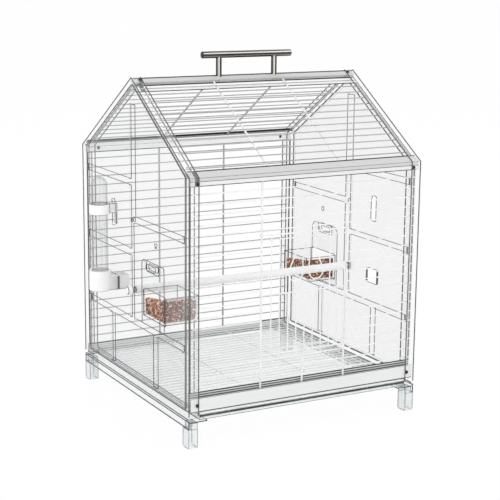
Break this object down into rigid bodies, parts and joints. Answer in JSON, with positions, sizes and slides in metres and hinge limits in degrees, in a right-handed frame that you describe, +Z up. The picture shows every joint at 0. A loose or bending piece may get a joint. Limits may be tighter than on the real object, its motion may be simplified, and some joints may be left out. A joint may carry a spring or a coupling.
{
  "type": "bird travel carrier",
  "caption": "House-shaped wire bird carrier with clear gable ends, hinged front door, ridge handle, slide-out tray and grate, perch, seed feeders and clip-on drinker.",
  "frame": {"origin": "on the ground under the middle of the overall box, level with the undersides of the four feet", "axes": "+X along the ridge from the drinker's gable to the other, +Y from the door wall to the back wall, +Z up"},
  "size_m": [0.435, 0.3924, 0.5505],
  "materials": {
    "clear_plastic": "clear moulded",
    "clear_base_plastic": "clear moulded",
    "tray_plastic": "pale bluish, translucent",
    "rail_metal": "light grey, smooth",
    "white_wire": "white coated wire",
    "white_plastic": "moulded",
    "perch_plastic": "lightly textured",
    "seed_mix": "loose grains",
    "handle_steel": "satin",
    "screw_steel": "plain"
  },
  "bodies": {
    "cabin": {"gable_frame_left": "clear_plastic", "gable_frame_right": "clear_plastic", "gable_panel_left": "clear_plastic", "gable_panel_right": "clear_plastic", "ridge_rail": "rail_metal", "front_eave_rail": "rail_metal", "back_eave_rail": "rail_metal", "front_base_rail": "rail_metal", "back_base_rail": "rail_metal", "runner_left": "clear_base_plastic", "runner_right": "clear_base_plastic", "foot_front_left": "clear_base_plastic", "foot_front_right": "clear_base_plastic", "foot_back_left": "clear_base_plastic", "foot_back_right": "clear_base_plastic", "front_grille_left": "white_wire", "front_grille_right": "white_wire", "front_grille_top": "white_wire", "front_grille_sill": "white_wire", "back_grille": "white_wire", "front_roof_grille": "white_wire", "back_roof_grille": "white_wire", "frame_screws": "screw_steel", "perch": "perch_plastic", "handle_bar": "handle_steel", "handle_posts": "handle_steel", "handle_screws": "screw_steel"},
    "tray": {"tray": "tray_plastic"},
    "grate": {"floor_grate": "white_wire"},
    "door": {"door": "white_wire", "door_heart": "white_wire"},
    "latch": {"door_latch": "white_wire"},
    "nut_left": {"perch_nut_left": "white_plastic"},
    "nut_right": {"perch_nut_right": "white_plastic"},
    "feeder_left": {"feeder_left": "clear_plastic", "seed_left": "seed_mix"},
    "feeder_right": {"feeder_right": "clear_plastic", "seed_right": "seed_mix"},
    "drinker": {"bottle_base": "white_plastic", "bottle_clip": "white_plastic"},
    "bottle": {"bottle_tube": "clear_plastic"}
  },
  "joints": [
    {"name": "door_swing", "type": "hinge", "parent": "cabin", "child": "door", "pos_m": [-0.0615, -0.1895, 0.213], "axis": [0, 0, -1], "range_deg": [0, 135]},
    {"name": "latch_turn", "type": "hinge", "parent": "door", "child": "latch", "pos_m": [0.0775, -0.1937, 0.12], "axis": [0, 0, -1], "range_deg": [0, 50]},
    {"name": "tray_slide", "type": "slide", "parent": "cabin", "child": "tray", "axis": [0, -1, 0], "range_m": [0, 0.35]},
    {"name": "grate_slide", "type": "slide", "parent": "tray", "child": "grate", "axis": [0, -1, 0], "range_m": [0, 0.35]},
    {"name": "nut_left_turn", "type": "hinge", "parent": "cabin", "child": "nut_left", "pos_m": [-0.1845, 0, 0.193], "axis": [-1, 0, 0], "continuous": true},
    {"name": "nut_right_turn", "type": "hinge", "parent": "cabin", "child": "nut_right", "pos_m": [0.2135, 0, 0.193], "axis": [1, 0, 0], "continuous": true},
    {"name": "feeder_left_slide", "type": "slide", "parent": "cabin", "child": "feeder_left", "axis": [-1, 0, 0], "range_m": [0, 0.065]},
    {"name": "feeder_right_slide", "type": "slide", "parent": "cabin", "child": "feeder_right", "axis": [1, 0, 0], "range_m": [0, 0.065]},
    {"name": "drinker_slide", "type": "slide", "parent": "cabin", "child": "drinker", "axis": [-1, 0, 0], "range_m": [0, 0.045]},
    {"name": "bottle_lift", "type": "slide", "parent": "drinker", "child": "bottle", "axis": [0, 0, 1], "range_m": [0, 0.13]}
  ]
}
